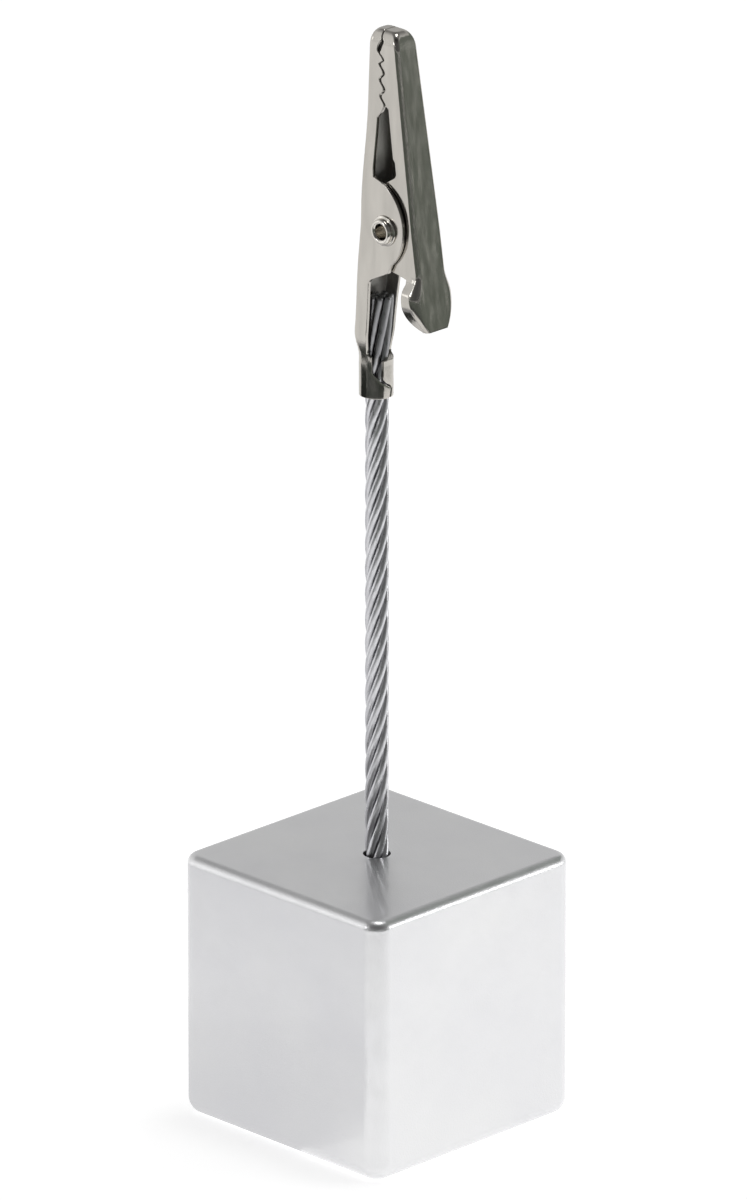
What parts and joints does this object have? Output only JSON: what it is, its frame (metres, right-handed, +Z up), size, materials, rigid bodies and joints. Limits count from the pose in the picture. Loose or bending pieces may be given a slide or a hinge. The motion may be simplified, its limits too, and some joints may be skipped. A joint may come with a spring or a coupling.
{
  "type": "place card holder",
  "caption": "Rounded metal cube base with a twisted wire rope stem that carries a sprung crocodile clip, to hold a place card or note upright.",
  "frame": {"origin": "centre of the block's underside, on the table", "axes": "+Z up along the stem, +X from the fixed jaw towards the moving jaw, Y along the clip's rivet"},
  "size_m": [0.025, 0.025, 0.1029],
  "materials": {
    "satin_metal": "satin",
    "adhesive": "gloss",
    "rope_steel": "bright drawn wire",
    "plated_steel": "nickel plated",
    "plated_rivet": "nickel plated, bright",
    "spring_steel": "drawn wire"
  },
  "bodies": {
    "base": {"base_block": "satin_metal", "stem_bond": "adhesive"},
    "clip": {"rope_core": "rope_steel", "rope_strand_1": "rope_steel", "rope_strand_2": "rope_steel", "rope_strand_3": "rope_steel", "rope_strand_4": "rope_steel", "rope_strand_5": "rope_steel", "rope_strand_6": "rope_steel", "fixed_jaw": "plated_steel", "pivot_rivet": "plated_rivet", "jaw_spring": "spring_steel"},
    "jaw": {"moving_jaw": "plated_steel"}
  },
  "joints": [
    {"name": "stem_flex", "type": "hinge", "parent": "base", "child": "clip", "pos_m": [0, 0, 0.025], "axis": [0, 1, 0], "range_deg": [-20, 20], "stiffness_Nm_per_rad": 0.15, "deforming": ["rope_core", "rope_strand_1", "rope_strand_2", "rope_strand_3", "rope_strand_4", "rope_strand_5", "rope_strand_6"]},
    {"name": "jaw_open", "type": "hinge", "parent": "clip", "child": "jaw", "pos_m": [0.00305, 0, 0.085], "axis": [0, 1, 0], "range_deg": [0, 28], "stiffness_Nm_per_rad": 0.05, "springref_deg": -28.65, "deforming": ["jaw_spring"]}
  ]
}
